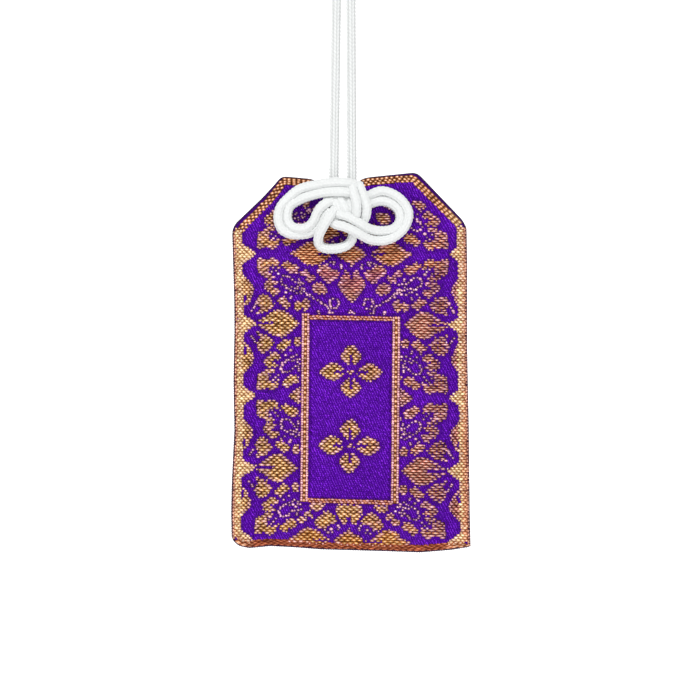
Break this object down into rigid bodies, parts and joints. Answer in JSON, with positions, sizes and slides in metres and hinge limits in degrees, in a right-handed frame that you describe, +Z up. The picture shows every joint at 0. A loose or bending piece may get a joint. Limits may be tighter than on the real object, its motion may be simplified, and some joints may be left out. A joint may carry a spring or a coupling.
{
  "type": "omamori charm",
  "caption": "Flat brocade amulet pouch with a clipped-corner mouth, closed by a white braided cord tied in a looped knot and hung by a cord loop that ends in a knot.",
  "frame": {"origin": "the hang point: the underside of the end knot, between the two strands of the hanging loop", "axes": "+Z up along the hanging strands, -Y out of the front of the pouch, +X to the right of someone looking at the front"},
  "size_m": [0.0517, 0.0097, 0.1462],
  "materials": {
    "brocade": "silk brocade, purple satin ground with gold weft figures",
    "cord": "matte braided cord",
    "interfacing": "matte non-woven",
    "card": "plain grey-brown board",
    "talisman_wood": "planed, unfinished",
    "talisman_paper": "plain folded paper",
    "thread": "purple sewing thread"
  },
  "bodies": {
    "hang_end": {"end_knot": "cord", "cord_tail_left": "cord", "cord_tail_right": "cord"},
    "strands": {"hanging_strand_left": "cord", "hanging_strand_right": "cord"},
    "knot": {"knot_body": "cord", "left_loop_outer": "cord", "left_loop_inner": "cord", "right_loop_outer": "cord", "right_loop_inner": "cord", "lower_loop": "cord", "mouth_tie": "cord"},
    "pouch": {"front_panel": "brocade", "back_panel": "brocade", "front_interfacing": "interfacing", "back_interfacing": "interfacing", "core_card": "card", "left_seam_thread": "thread", "right_seam_thread": "thread", "bottom_seam_thread": "thread"},
    "talisman": {"talisman_board": "talisman_wood", "talisman_wrapper": "talisman_paper"}
  },
  "joints": [
    {"name": "charm_swing", "type": "hinge", "parent": "hang_end", "child": "strands", "pos_m": [0, 0, 0], "axis": [1, 0, 0], "range_deg": [-45, 45]},
    {"name": "charm_spin", "type": "hinge", "parent": "strands", "child": "knot", "pos_m": [0, 0, -0.0519], "axis": [0, 0, 1], "range_deg": [-180, 180], "stiffness_Nm_per_rad": 0.000005},
    {"name": "pouch_sway", "type": "hinge", "parent": "knot", "child": "pouch", "pos_m": [0, 0, -0.0586], "axis": [0, 1, 0], "range_deg": [-10, 10]},
    {"name": "talisman_shift", "type": "slide", "parent": "pouch", "child": "talisman", "axis": [0, 0, 1], "range_m": [0, 0.0015]}
  ]
}
